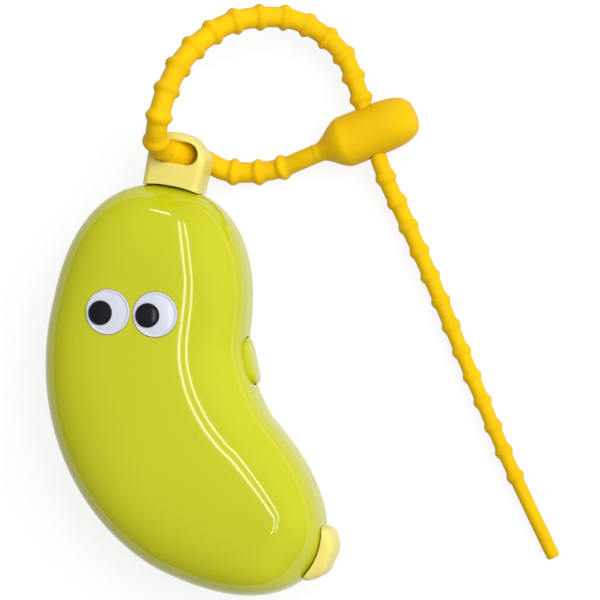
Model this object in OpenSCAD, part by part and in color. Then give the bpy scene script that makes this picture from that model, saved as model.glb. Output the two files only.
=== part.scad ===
// Small banana-shaped clamshell case with a push-button latch, a strap slot in its stem
// and a ribbed silicone strap. It lies on its flat back: X is to the right, Y towards the
// stem and Z up out of the front. The origin is on the back, under the middle of the bend.
// All sizes are in millimetres.

/* [Case outline] */
// Length of the straight upper stretch of the case's middle line
upper_len = 31.5; // [28:0.5:36]
// Length of the straight lower stretch
lower_len = 28; // [24:0.5:32]
// Angle between the two stretches
bend_angle = 63; // [56:1:66]
// Radius of the middle line in the bend
bend_r = 37.5; // [36:0.5:42]
// Lean of the upper stretch from upright
lean = 10; // [4:1:16]
// Half width at the stem end, before the end is rounded
width_top = 20.5; // [19:0.5:22]
// Half width at the tip end, before the end is rounded
width_tip = 26; // [24:0.5:27]
// Length over which the stem end is rounded
round_top = 28.5; // [24:0.5:32]
// Length over which the tip end is rounded
round_tip = 60; // [50:1:66]

/* [Shells] */
// Depth of the front shell from the parting line
front_depth = 13; // [12:0.5:14]
// Depth of the rear shell from the parting line to its flat back
back_depth = 13; // [12:0.5:14]
// How much of the rear dome is cut off to make the flat back
flat_cut = 0.5; // [0.3:0.1:0.6]
// Length over which the ends are rounded, seen from the side
round_side = 24; // [20:0.5:28]
// Wall thickness of both shells
wall = 1.8; // [1.6:0.1:2]
// Gap between the two rims when the case is shut
rim_gap = 0.2; // [0.15:0.05:0.3]
// Thickness of the locating lip inside the rear rim
lip_t = 1; // [0.8:0.1:1.2]
// Height of the lip above the parting line
lip_h = 1.3; // [1:0.1:1.6]
// Clearance between the lip and the front shell's wall
lip_gap = 0.35; // [0.3:0.05:0.4]

/* [Hinge] */
// Distance of the hinge from the stem end, along the middle line
hinge_s = 57; // [55:0.5:59]
// Outer radius of the hinge barrel
barrel_r = 1.6; // [1.5:0.05:1.7]
// How far the barrel stands out of the case's side
barrel_proud = 0.3; // [0.2:0.05:0.4]
// Length of the whole barrel
barrel_len = 12.4; // [11.5:0.1:13]
// Length of the front shell's middle knuckle
knuckle_len = 4.8; // [4.2:0.1:5.4]
// Axial gap on each side of a knuckle
knuckle_gap = 0.2; // [0.15:0.05:0.3]
// Radius of the steel hinge pin
pin_r = 0.6; // [0.5:0.05:0.7]
// Radial play of the pin in the knuckles
pin_play = 0.05; // [0.02:0.01:0.08]
// Angle that the shells are cut back by behind the hinge line
relief = 58; // [56:1:60]

/* [Latch] */
// Distance of the latch from the stem end, along the middle line
latch_s = 41; // [39:0.5:43]
// Length of the button along the case's side
button_w = 10.4; // [9.6:0.1:11]
// Height of the button across the parting line
button_h = 6.4; // [6:0.1:6.8]
// Rounding of the button's corners
button_corner = 2.8; // [2:0.1:2.9]
// How far the button stands out at the middle of the window
button_proud = 1.5; // [1.3:0.1:1.6]
// How far the button can be pressed
button_travel = 1.2; // [1:0.1:1.3]
// Gap round the button in its window
button_gap = 0.25; // [0.2:0.05:0.3]
// Thickness of the front shell's hook
hook_t = 1; // [0.9:0.1:1.1]
// How far the hook's nose reaches under the catch
hook_bite = 0.6; // [0.5:0.1:0.7]
// Outer radius of the return spring
spring_r = 1.35; // [1.2:0.05:1.4]
// Diameter of the spring's wire
spring_wire = 0.35; // [0.3:0.05:0.4]
// Number of turns in the spring
spring_turns = 4; // [3:1:5]

/* [Stem and tip] */
// Height of the stem above the case
stem_h = 12; // [11.4:0.1:13]
// Width of the stem at its top
stem_w = 14; // [13.4:0.1:15]
// How much narrower the stem is at its foot
stem_taper = 1.4; // [0.8:0.1:1.8]
// Thickness of the stem from front to back
stem_t = 10; // [9:0.2:10.4]
// Length of the strap slot
slot_len = 10; // [9.8:0.1:10.4]
// Height of the strap slot
slot_h = 4.9; // [4.8:0.1:5]
// Height of the slot's middle above the case's end
slot_y = 7.5; // [7.2:0.1:7.8]
// Length of the tip piece along the case's side
tip_w = 12.4; // [11.6:0.2:13.2]
// How far the tip piece stands out
tip_h = 2.9; // [2.4:0.1:3.2]
// Distance of the tip piece from the case's middle line, to the inner side of the bend
tip_side = 3.7; // [3:0.1:4.4]
// Gap between the front shell and the stem or the tip
cap_gap = 0.4; // [0.3:0.05:0.5]
// Gap between the rear shell and the stem or the tip
cap_seat = 0.15; // [0.1:0.05:0.2]
// Rounding of the edges of the stem and the tip
cap_edge = 1.6; // [1:0.1:2]
// Width of the tongues that hold the stem and the tip
tongue_w = 6.4; // [6:0.1:7]
// Thickness of the tongues
tongue_t = 2.9; // [2.6:0.1:3.1]

/* [Eyes] */
// Diameter of the white discs
eye_d = 10; // [9.6:0.1:10.2]
// Distance between the middles of the two eyes
eye_pitch = 10.7; // [10.6:0.1:11.4]
// How far the line through the eyes falls to the right, in degrees
eye_fall = 3; // [0:0.5:6]
// Height of the eyes above the middle of the bend
eye_y = 23.2; // [22:0.2:26]
// Sideways place of the point between the eyes
eye_x = -3.2; // [-4:0.1:-2.4]
// Depth of the round seats in the front shell
eye_seat = 0.9; // [0.8:0.05:1]
// Diameter of the pupils
pupil_d = 5.3; // [5:0.1:5.6]
// How far the pupils look to the side
pupil_shift = 1.65; // [1.4:0.05:1.8]
// How far the pupils look down
pupil_drop = 0.2; // [0:0.1:0.4]

/* [Screws] */
// Radius of the screws' thread
screw_r = 0.8; // [0.7:0.05:0.85]
// Radius of the screws' heads
head_r = 1.6; // [1.4:0.05:1.7]
// Height of the screws' heads
head_h = 1; // [0.8:0.1:1]
// Outer radius of the screw posts
post_r = 2; // [1.9:0.1:2.1]

/* [Strap] */
// Radius of the strap's neck where it leaves the head
neck_r = 2.25; // [2.1:0.05:2.3]
// Radius of the strap's neck at its far end
neck_end_r = 1.4; // [1.3:0.05:1.5]
// Height of a rib over the neck
rib_h = 0.8; // [0.6:0.05:0.85]
// Distance from one rib to the next
rib_pitch = 5.65; // [5.5:0.05:5.7]
// Length of the strap's head
head_len = 21; // [20:0.2:22]
// Diameter of the strap's head
head_d = 10.6; // [10:0.1:10.8]
// Radius of the hole through the strap's head
hole_r = 2.1; // [2.05:0.05:2.3]
// How far that hole lies to one side of the head's middle
hole_side = 0.9; // [0.8:0.05:1]

/* [Hidden] */
$fn = 48;

lime = "#cdce30";
bright_lime = "#dfe045";
cream = "#e8db72";
amber = "#f7c404";
steel = "#b9bcc0";

// Shape exponents of the rounded ends and of the domed section
full_top = 2.4;
full_tip = 2.1;
full_side = 2.2;
full_dome = 2.6;

// Height of the parting line above the flat back
seam = back_depth;
eps = 0.01;

// Cells of the shells' surfaces along the case, and across it outside and inside
along = 40;
across_out = 16;
across_in = 12;

// Middle line: a straight stretch, an arc and a straight stretch. Headings are measured
// from straight down towards the right, and the middle of the arc lies over the origin.
arc_len = bend_r * bend_angle * PI / 180;
spine_len = upper_len + arc_len + lower_len;
head_a = -lean;
head_b = bend_angle - lean;
function heading_dir(a) = [sin(a), -cos(a)];
function side_dir(a) = [cos(a), sin(a)];
bend_centre = bend_r * side_dir((head_a + head_b) / 2);
function heading(s) =
    min(head_b, max(head_a, head_a + (s - upper_len) * 180 / PI / bend_r));
function spine(s) =
    bend_centre - bend_r * side_dir(heading(s))
    + (min(0, s - upper_len) + max(0, s - upper_len - arc_len)) * heading_dir(heading(s));

// Height of a rounded end, from 0 at its edge to 1 at the distance 1 from it
function round_end(u, k) = pow(max(0, 1 - pow(min(1, max(0, 1 - u)), k)), 1 / k);
function half_width(s, inset) =
    (width_top + (width_tip - width_top) * s / spine_len - inset)
    * round_end((s - inset) / (round_top - inset), full_top)
    * round_end((spine_len - s - inset) / (round_tip - inset), full_tip);
function half_depth(s, depth, inset) =
    (depth - inset)
    * round_end((s - inset) / (round_side - inset), full_side)
    * round_end((spine_len - s - inset) / (round_side - inset), full_side);
// Distance along the middle line of cell edge i, drawn closer together at the ends
function step_s(i, inset) = inset + (spine_len - 2 * inset) * (1 - cos(180 * i / along)) / 2;
function flat_point(s, u) = spine(s) + u * side_dir(heading(s));
// Point of a domed surface: t runs from 0 at the right edge to 180 at the left edge
function dome_point(s, t, depth, inset) =
    let (x = sign(cos(t)) * pow(abs(cos(t)), 2 / full_dome))
    let (z = pow(abs(sin(t)), 2 / full_dome))
    let (p = flat_point(s, x * half_width(s, inset)))
    [p.x, p.y, t == 0 || t == 180 ? 0 : z * half_depth(s, depth, inset)];
// Height of the outside of the front dome over the parting line
function front_z(s, u) =
    rim_gap / 2 + half_depth(s, front_depth - rim_gap / 2, 0)
    * pow(1 - pow(abs(u) / half_width(s, 0), full_dome), 1 / full_dome);

// Outline of the case at the parting line, anticlockwise
function case_outline(inset) = concat(
    [for (i = [along : -1 : 0]) flat_point(step_s(i, inset), half_width(step_s(i, inset), inset))],
    [for (i = [1 : along - 1]) flat_point(step_s(i, inset), -half_width(step_s(i, inset), inset))]);

// Point and outward direction on the edge: side is 1 on the inner side of the bend, -1 outside
function edge_point(s, side) = flat_point(s, side * half_width(s, 0));
function edge_angle(s, side) =
    let (v = side * (edge_point(s - 0.4, side) - edge_point(s + 0.4, side)))
    atan2(v.y, v.x) - 90;
module on_edge(s, side) {
    q = edge_point(s, side);
    translate([q.x, q.y, seam]) rotate([0, 0, edge_angle(s, side)]) children();
}
module on_stem_end() {
    q = spine(0);
    translate([q.x, q.y, seam]) rotate([0, 0, -lean]) children();
}

// Vertices of one domed surface: a first pole, the rings, and a last pole
function dome_points(depth, inset, across) = concat(
    [dome_point(step_s(0, inset), 0, depth, inset)],
    [for (i = [1 : along - 1]) for (j = [0 : across])
        dome_point(step_s(i, inset), 180 * j / across, depth, inset)],
    [dome_point(step_s(along, inset), 0, depth, inset)]);
function ring_at(i, j, across, base) =
    base + (i == 0 ? 0 : i == along ? 1 + (along - 1) * (across + 1) : 1 + (i - 1) * (across + 1) + j);
// Triangles of one domed surface, facing away from the parting line
function dome_faces(across, base) = [
    for (i = [0 : along - 1]) for (j = [0 : across - 1])
        let (a = ring_at(i, j, across, base), b = ring_at(i + 1, j, across, base))
        let (c = ring_at(i + 1, j + 1, across, base), d = ring_at(i, j + 1, across, base))
        each (i == 0 ? [[a, b, c]] : i == along - 1 ? [[a, b, d]] : [[a, b, d], [d, b, c]])];
function flipped(faces) = [for (f = faces) [f[0], f[2], f[1]]];
// Flat ring that joins an outer and an inner surface along one edge
function rim_faces(j_out, j_in, base_in) = [
    for (i = [0 : along - 1])
        let (a = ring_at(i, j_out, across_out, 0), b = ring_at(i + 1, j_out, across_out, 0))
        let (c = ring_at(i + 1, j_in, across_in, base_in), d = ring_at(i, j_in, across_in, base_in))
        each [[a, b, c], [a, c, d]]];

// Hollow half of the case, open at z = 0
module half_shell(depth) {
    outer = dome_points(depth, 0, across_out);
    inner = dome_points(depth, wall, across_in);
    base = len(outer);
    polyhedron(
        points = concat(outer, inner),
        faces = concat(
            dome_faces(across_out, 0),
            flipped(dome_faces(across_in, base)),
            flipped(rim_faces(0, 0, base)),
            rim_faces(across_out, across_in, base)),
        convexity = 6);
}
// Solid half of the case, inset from its outside, that ribs and posts are trimmed with
module half_solid(depth, inset) {
    points = dome_points(depth, inset, across_in);
    rim = concat(
        [for (i = [along : -1 : 0]) ring_at(i, 0, across_in, 0)],
        [for (i = [1 : along - 1]) ring_at(i, across_in, across_in, 0)]);
    polyhedron(points = points, faces = concat(dome_faces(across_in, 0), [rim]), convexity = 4);
}

// Block from one corner to the opposite one
module block(low, high) {
    translate(low) cube(high - low);
}
// Outline in X and Z, drawn out along Y to both sides
module side_profile(points, half_length) {
    rotate([90, 0, 0]) linear_extrude(2 * half_length, center = true) polygon(points);
}
// Convex outline with rounded corners: each corner is [x, y, radius]
function rounded(corners) = [
    for (i = [0 : len(corners) - 1])
        let (p = corners[i], n = len(corners))
        let (a = corners[(i + n - 1) % n], b = corners[(i + 1) % n])
        let (before = atan2(p.y - a.y, p.x - a.x), after = atan2(b.y - p.y, b.x - p.x))
        let (turn = (after - before + 360) % 360)
        let (c = [p.x, p.y] - p.z / cos(turn / 2) * [sin(before + turn / 2), -cos(before + turn / 2)])
        each [for (k = [0 : 6]) c + p.z * [sin(before + turn * k / 6), -cos(before + turn * k / 6)]]];
// Solid through equal outlines, one over the other: each level is [z, points]
module stacked(levels) {
    n = len(levels[0][1]);
    top = len(levels) - 1;
    polyhedron(
        points = [for (v = levels) for (p = v[1]) [p.x, p.y, v[0]]],
        faces = concat(
            [[for (i = [0 : n - 1]) i]],
            [for (k = [0 : top - 1]) for (i = [0 : n - 1])
                let (j = (i + 1) % n)
                each [[k * n + i, k * n + n + i, k * n + j], [k * n + j, k * n + n + i, k * n + n + j]]],
            [[for (i = [n - 1 : -1 : 0]) top * n + i]]),
        convexity = 4);
}
// Rounding of the front and back edges: pairs of [height, inset] from back to front
function cap_levels(t, r) = concat(
    [for (a = [90 : -22.5 : 0]) [-t / 2 + r * (1 - sin(a)), r * (1 - cos(a))]],
    [for (a = [0 : 22.5 : 90]) [t / 2 - r * (1 - sin(a)), r * (1 - cos(a))]]);

// Hinge frame: X along the pin, Y into the case, Z up
module on_hinge() {
    on_edge(hinge_s, -1) rotate([0, 0, 90]) translate([0, barrel_r - barrel_proud, 0]) children();
}
module along_pin(r, from, to) {
    translate([from, 0, 0]) rotate([0, 90, 0]) cylinder(r = r, h = to - from);
}
// Wedge behind the hinge line that lets the front shell swing over
module hinge_relief(up) {
    reach = 8;
    rotate([90, 0, 90]) linear_extrude(32, center = true)
        polygon([[0, 0], [-reach, 0], [-reach, up * reach * tan(relief)]]);
}
half_barrel = barrel_len / 2;
half_knuckle = knuckle_len / 2;
outer_knuckle = half_knuckle + knuckle_gap;

// Latch frame: X out of the case, Y along its side, Z up. These are places along X.
stop_x = -3;
flange_x = stop_x - 0.1;
flange_in = flange_x - 1;
blade_out = flange_in - button_travel - 0.6;
blade_in = blade_out - hook_t;
catch_x = blade_in - 0.4;
nose_x = catch_x - hook_bite;
bar_out = catch_x - 0.8;
bar_in = bar_out - 1.1;
spring_len = 3.4;
rib_x = bar_in - spring_len;
rib_in = rib_x - 1;
hook_w = 4.8;
flange_w = button_w + 2.4;
rail_out = flange_in - button_travel - 0.4;
// Heights of the latch's pieces, from the parting line
arm_top = -2.2;
arm_bottom = -4;
arm_in = 4.4;
arm_out = 5.9;
bracket_bottom = -1.8;
bracket_t = 1.1;
nose_top = arm_bottom - 0.2;
nose_bottom = nose_top - 1.4;
wall_in = arm_out + 0.2;
bracket_w = 2 * wall_in + 2;
spring_z = -3.4;
spigot_r = spring_r - spring_wire - 0.2;
post_x = bar_in - button_travel - post_r - 0.3;
post_y = arm_out - 0.6;

// Stem and tip: their tongues reach through the rear shell's wall to a post each
tongue_top = -2;
tongue_bottom = tongue_top - tongue_t;
tongue_len = 10;
tongue_screw = 7.4;
tongue_play = 0.15;
module tongue(play) {
    block([-tongue_w / 2 - play, -tongue_len - play, tongue_bottom - play],
        [tongue_w / 2 + play, 2, tongue_top + play]);
}
// Tip frame, turned so that Y points out of the case as on the stem
module on_tip() {
    tip_s = spine_len
        - round_tip * (1 - pow(1 - pow(tip_side / width_tip, full_tip), 1 / full_tip));
    on_edge(tip_s, 1) rotate([0, 0, -90]) children();
}
// Screw with its head's underside at z = 0
screw_len = 5;
module screw() {
    color(steel) difference() {
        union() {
            cylinder(r = head_r, h = head_h);
            translate([0, 0, -screw_len]) cylinder(r = screw_r, h = screw_len + eps);
        }
        for (a = [0, 90])
            rotate([0, 0, a])
                translate([-head_r * 0.65, -0.18, head_h * 0.45]) cube([head_r * 1.3, 0.36, head_h]);
    }
}
screw_hole_r = screw_r + 0.05;
clear_hole_r = screw_r + 0.25;

// Eyes: the front dome over a flat place, and the slope of its surface there
function upper_place(p) =
    let (v = p - spine(upper_len), a = head_a)
    [upper_len + v * heading_dir(a), v * side_dir(a)];
module on_eye(side) {
    p = [eye_x, eye_y] + side * eye_pitch / 2 * [cos(eye_fall), -sin(eye_fall)];
    q = upper_place(p);
    step = 0.2;
    slope_s = (front_z(q.x + step, q.y) - front_z(q.x - step, q.y)) / (2 * step);
    slope_u = (front_z(q.x, q.y + step) - front_z(q.x, q.y - step)) / (2 * step);
    v = slope_s * heading_dir(head_a) + slope_u * side_dir(head_a);
    turn = atan2(-v.y, -v.x);
    translate([p.x, p.y, seam + front_z(q.x, q.y)])
        rotate([0, atan(norm(v)), turn])
            rotate([0, 0, -turn])
                translate([0, 0, -eye_seat])
                    children();
}
// Round domed button: radius, height at the rim, crown over the rim, rounding of the rim
module domed_disc(r, rim, crown, edge) {
    ball = (r * r + crown * crown) / (2 * crown);
    rotate_extrude()
        polygon(concat(
            [[0, 0], [r, 0]],
            [for (a = [0 : 30 : 90]) [r - edge + edge * cos(a), rim - edge + edge * sin(a)]],
            [for (k = [1 : 8])
                let (x = (r - edge) * (1 - k / 8))
                [x, rim + sqrt(ball * ball - x * x) - sqrt(ball * ball - pow(r - edge, 2))]]));
}
eye_rim = 1;
eye_crown = 0.4;
pupil_floor = 0.8;
eye_fit = 0.1;

// Strap: the head's place and turn, and the route of the strap's middle line, in round
// numbers. Both routes start in the middle of the slot; the long one passes through the head.
head_place = [45.4, 62.9, 5.4];
head_turn = 21;
// How much less the hole through the head is turned
hole_turn = 4;
lead_route = [
    [4.7, 58.6, 13], [5.8, 58.4, 10.5], [6.8, 58.2, 8.1], [8.1, 57.5, 6], [9.8, 56.4, 4.5],
    [11.9, 55.3, 3.6], [14.4, 54.7, 3.15], [17.4, 54.5, 3.05], [20.6, 54.6, 3.05], [24, 55.1, 3.15],
    [27.2, 56, 3.6], [30, 57.05, 4.4], [33, 58.2, 5.1], [35.6, 59.2, 5.3]];
tail_route = [
    [4.7, 58.6, 13], [3.6, 58.8, 15.5], [2.6, 59, 18], [2, 59.4, 20.7], [1.9, 60.6, 23.5],
    [2.4, 62.8, 25.8], [3.3, 66, 27.1], [4.2, 69.6, 26.9], [5.3, 73.4, 25.5], [6.8, 77.3, 23.2],
    [8.9, 80.8, 20.6], [11.6, 83.8, 17.9], [15, 86.4, 15.6], [19.1, 88, 13.3], [24.2, 88.6, 10.8],
    [28.9, 88.2, 8.7], [33.3, 86.3, 6.9], [37.4, 83.2, 5.8], [40.5, 79.4, 5.2], [42.8, 74, 5.4],
    [44.14, 70.1, 5.4], [46.24, 63.22, 5.4], [48.34, 56.34, 5.4], [50.4, 50.6, 4.2], [52.5, 46, 3],
    [56.5, 37, 2.4], [61.1, 26.4, 2.3], [65.8, 15.2, 2.25], [70.5, 4.2, 2.25], [75.4, -7.2, 2.25],
    [79.8, -16.6, 2.1], [83.1, -23.6, 1.7], [86.5, -30.6, 1.5]];

// Smooth curve through the route's points, from 0 at the first to n - 1 at the last
function route_at(route, t) =
    let (n = len(route), i = min(n - 2, floor(t)), f = t - i)
    let (b = route[i], c = route[i + 1])
    let (a = i > 0 ? route[i - 1] : 2 * b - c, d = i < n - 2 ? route[i + 2] : 2 * c - b)
    b + f / 2 * ((c - a) + f * ((2 * a - 5 * b + 4 * c - d) + f * (3 * (b - c) + d - a)));
// Table of [length, t] along the route, and its whole length
steps_per_point = 6;
function route_table(route) =
    let (n = (len(route) - 1) * steps_per_point)
    let (p = [for (k = [0 : n]) route_at(route, k / steps_per_point)])
    [for (k = 0, s = 0; k <= n; s = s + (k < n ? norm(p[k + 1] - p[k]) : 0), k = k + 1)
        [s, k / steps_per_point]];
function table_len(table) = table[len(table) - 1][0];
// Ring round the route and square to it, turned from a direction that the route never takes
sides = 8;
function ring(route, t, r) =
    let (h = 0.02, n = len(route) - 1)
    let (p = route_at(route, t))
    let (v = route_at(route, min(n, t + h)) - route_at(route, max(0, t - h)))
    let (d = v / norm(v))
    let (e = cross(d, [0.6, 0, 0.8]), x = e / norm(e), y = cross(d, x))
    [for (k = [0 : sides - 1]) p + r * (cos(360 * k / sides) * x + sin(360 * k / sides) * y)];
// Rings [length, radius] of a row of ribs: one at the top of each rib and one after it
function ribs(first, count, pitch, neck) = [
    for (k = [0 : count - 1])
        each [[first + k * pitch, neck[k] + rib_h], [first + (k + 0.5) * pitch, neck[k]]]];
// Plain stretch with a ring every step or so, and its radius from r0 to r1
function plain(from, to, step, r0, r1) =
    let (n = ceil((to - from) / step))
    [for (k = [0 : n]) [from + (to - from) * k / n, r0 + (r1 - r0) * k / n]];
lead_table = route_table(lead_route);
tail_table = route_table(tail_route);
strap_gap = 0.05;
lead_end_r = neck_r - 0.2;
loop_end_r = neck_r - 0.3;
lead_first = 15.9;
loop_first = 18.3;
loop_ribs = 13;
loop_last = loop_first + (loop_ribs - 0.5) * rib_pitch;
tail_pitch = rib_pitch + 0.35;
tail_first = loop_first + 86.2;
tail_ribs = 13;
tail_last = tail_first + (tail_ribs - 0.5) * tail_pitch;
tail_end = table_len(tail_table);
lead_rings = concat(
    plain(strap_gap, lead_first - rib_pitch / 2, 2.2, neck_r, neck_r),
    ribs(lead_first, 3, rib_pitch, [neck_r, neck_r, neck_r - 0.1]),
    plain(lead_first + 3 * rib_pitch, table_len(lead_table) - 3 * strap_gap, 2.2, lead_end_r, lead_end_r));
tail_rings = concat(
    plain(strap_gap, loop_first - rib_pitch / 2, 2.2, neck_r, neck_r),
    ribs(loop_first, loop_ribs, rib_pitch,
        [for (k = [0 : loop_ribs - 1]) neck_r - (neck_r - loop_end_r) * k / (loop_ribs - 1)]),
    plain(loop_last + 2, tail_first - tail_pitch / 2, 3, loop_end_r, neck_end_r),
    ribs(tail_first, tail_ribs, tail_pitch, [for (k = [0 : tail_ribs - 1]) neck_end_r]),
    plain(tail_last + 2.5, tail_end - 0.5, 3.5, neck_end_r, neck_end_r),
    [[tail_end, neck_end_r - 0.4]]);
// Closed tube through rings of equal sides
module tube(rings) {
    n = len(rings);
    polyhedron(
        points = [for (r = rings) each r],
        faces = concat(
            [[for (k = [0 : sides - 1]) k]],
            [for (i = [0 : n - 2]) for (k = [0 : sides - 1])
                let (a = i * sides + k, b = i * sides + (k + 1) % sides)
                each [[a, a + sides, b], [b, a + sides, b + sides]]],
            [[for (k = [sides - 1 : -1 : 0]) (n - 1) * sides + k]]),
        convexity = 10);
}

module strap_lead() {
    color(amber) tube([for (v = lead_rings) ring(lead_route, lookup(v[0], lead_table), v[1])]);
}
module strap_tail() {
    color(amber) tube([for (v = tail_rings) ring(tail_route, lookup(v[0], tail_table), v[1])]);
}
// Head: a rounded bead that the strap's far end is threaded through
module strap_head() {
    half = head_len / 2;
    color(amber)
        translate(head_place) rotate([0, 0, head_turn]) difference() {
            rotate([0, 90, 0]) rotate_extrude()
                polygon(concat(
                    [[0, -half], [lead_end_r + 0.1, -half]],
                    [for (a = [36 : 12 : 180])
                        [head_d / 2 * pow(sin(a), 0.74), -half * sign(cos(a)) * pow(abs(cos(a)), 0.76)]]));
            translate([hole_side, 0, 0]) rotate([90, 0, -hole_turn])
                cylinder(r = hole_r, h = 2 * head_d, center = true);
        }
}

// Front shell with its knuckle, hook and eye seats
module hook() {
    block([blade_in, -hook_w / 2, nose_bottom], [blade_out, hook_w / 2, 1]);
    side_profile([[blade_in + eps, nose_top], [nose_x, nose_top], [nose_x, nose_top - 0.5],
        [blade_in + eps, nose_bottom]], hook_w / 2);
}
// Upper part of the hook and the rib that stiffens it, before they are trimmed to the shell
module hook_stay() {
    block([blade_in, -hook_w / 2, 0.5], [blade_out, hook_w / 2, front_depth + 1]);
    block([blade_out - eps, -0.6, button_h / 2 + 1], [1, 0.6, front_depth + 1]);
}
module front_shell() {
    color(lime) difference() {
        union() {
            difference() {
                translate([0, 0, seam + rim_gap / 2]) half_shell(front_depth - rim_gap / 2);
                on_hinge() {
                    hinge_relief(1);
                    for (side = [0, 180])
                        rotate([0, 0, side])
                            along_pin(barrel_r + 0.3, half_knuckle, half_barrel + knuckle_gap);
                }
            }
            on_hinge() {
                along_pin(barrel_r, -half_knuckle, half_knuckle);
                block([-half_knuckle, 0, rim_gap / 2], [half_knuckle, barrel_r, barrel_r + 1]);
            }
            on_edge(latch_s, 1) hook();
            intersection() {
                translate([0, 0, seam + rim_gap / 2]) half_solid(front_depth - rim_gap / 2, wall / 2);
                on_edge(latch_s, 1) hook_stay();
            }
        }
        on_edge(latch_s, 1) button_window();
        for (side = [-1, 1])
            on_eye(side) cylinder(r = eye_d / 2 + eye_fit, h = 4);
        on_hinge() along_pin(pin_r + pin_play, -half_barrel, half_barrel);
    }
}

// Locating lip inside the rear rim, cut away at the hinge and at the latch
module lip() {
    step = 2;
    inner = wall + lip_gap + lip_t;
    difference() {
        union() {
            translate([0, 0, seam - step]) linear_extrude(step + lip_h)
                polygon(case_outline(wall + lip_gap));
            translate([0, 0, seam - step]) linear_extrude(step - rim_gap / 2)
                polygon(case_outline(wall / 2));
        }
        translate([0, 0, seam - step - 1]) linear_extrude(step + lip_h + 2)
            polygon(case_outline(inner));
        on_hinge() block([-half_barrel - 2, -3, -3], [half_barrel + 2, 5, 3]);
        on_edge(latch_s, 1) block([-7, -flange_w / 2 - 2, -3], [3, flange_w / 2 + 2, 3]);
    }
}
// Pad, rails, posts and spring rib of the latch, before they are trimmed to the shell
module latch_cradle() {
    seat = bracket_bottom - 0.1;
    block([stop_x, -flange_w / 2 - 1.8, -button_h - 0.1], [2, flange_w / 2 + 1.8, -rim_gap / 2]);
    for (y = [-1, 1]) {
        block([post_x, min(y * arm_in, y * wall_in), -back_depth],
            [rail_out, max(y * arm_in, y * wall_in), arm_bottom - 0.1]);
        block([post_x, min(y * wall_in, y * bracket_w / 2), -back_depth],
            [rail_out, max(y * wall_in, y * bracket_w / 2), seat]);
        translate([post_x, y * post_y, -back_depth]) cylinder(r = post_r, h = back_depth + seat);
    }
    block([rib_in, -2, -back_depth], [rib_x, 2, seat]);
    translate([rib_x - eps, 0, spring_z]) rotate([0, 90, 0]) cylinder(r = spigot_r, h = 1);
}
module tongue_post() {
    translate([0, -tongue_screw, -back_depth])
        cylinder(r = post_r, h = back_depth + tongue_bottom);
}
module rear_shell() {
    depth = back_depth + flat_cut - rim_gap / 2;
    color(lime) difference() {
        union() {
            difference() {
                translate([0, 0, seam - rim_gap / 2]) mirror([0, 0, 1]) half_shell(depth);
                on_hinge() {
                    hinge_relief(-1);
                    along_pin(barrel_r + 0.3, -outer_knuckle, outer_knuckle);
                }
            }
            lip();
            on_hinge()
                for (side = [0, 180])
                    rotate([0, 0, side]) {
                        along_pin(barrel_r, outer_knuckle, half_barrel);
                        block([outer_knuckle, side == 0 ? 0 : -barrel_r, -barrel_r - 1],
                            [half_barrel, side == 0 ? barrel_r : 0, -rim_gap / 2]);
                    }
            intersection() {
                translate([0, 0, seam - rim_gap / 2]) mirror([0, 0, 1]) half_solid(depth, wall / 2);
                union() {
                    on_edge(latch_s, 1) latch_cradle();
                    on_stem_end() tongue_post();
                    on_tip() tongue_post();
                }
            }
        }
        block([-spine_len, -spine_len, -2 * flat_cut], [spine_len, spine_len, 0]);
        on_edge(latch_s, 1) {
            button_window();
            for (y = [-1, 1])
                translate([post_x, y * post_y, bracket_bottom + bracket_t - screw_len - 0.3])
                    cylinder(r = screw_hole_r, h = screw_len);
        }
        on_stem_end() tongue_holes();
        on_tip() tongue_holes();
        on_hinge() along_pin(pin_r + pin_play, -half_barrel - 1, half_barrel + 1);
    }
}
// Slot for a tongue and the hole for its screw
module tongue_holes() {
    tongue(tongue_play);
    translate([0, -tongue_screw, tongue_top - screw_len - 0.3])
        cylinder(r = screw_hole_r, h = screw_len);
}

module hinge_pin() {
    color(steel) on_hinge() along_pin(pin_r, -half_barrel + 0.15, half_barrel - 0.15);
}

// Rounded outline of the button, drawn smaller by an inset
function pill(inset) =
    let (y = button_w / 2 - inset, z = button_h / 2 - inset, r = button_corner - inset)
    rounded([[-y, -z, r], [y, -z, r], [y, z, r], [-y, z, r]]);
module button_window() {
    translate([stop_x - 0.3, 0, 0]) rotate([90, 0, 90]) linear_extrude(8)
        polygon(pill(-button_gap));
}
// Button, its flange behind the wall, two arms and the bar with the catch
module latch_button() {
    color(bright_lime) on_edge(latch_s, 1) {
        rotate([90, 0, 90]) stacked([[flange_in, pill(0)], [button_proud - 0.8, pill(0)],
            [button_proud - 0.3, pill(0.15)], [button_proud, pill(0.6)]]);
        block([flange_in, -flange_w / 2, -button_h / 2 - 1.6], [flange_x, flange_w / 2, -0.4]);
        for (y = [-1, 1])
            block([bar_in, min(y * arm_in, y * arm_out), arm_bottom],
                [flange_in + eps, max(y * arm_in, y * arm_out), arm_top]);
        block([bar_in, -arm_out, arm_bottom], [bar_out, arm_out, arm_top]);
        block([bar_in, -1.6, spring_z - 1.5], [bar_out, 1.6, spring_z + 1.4]);
        side_profile([[bar_out - eps, arm_bottom], [catch_x, arm_bottom],
            [catch_x, arm_bottom + 0.8], [bar_out - eps, arm_top - 0.2]], hook_w / 2 + 0.2);
        translate([bar_in - 0.8, 0, spring_z]) rotate([0, 90, 0]) cylinder(r = spigot_r, h = 0.9);
    }
}
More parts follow.
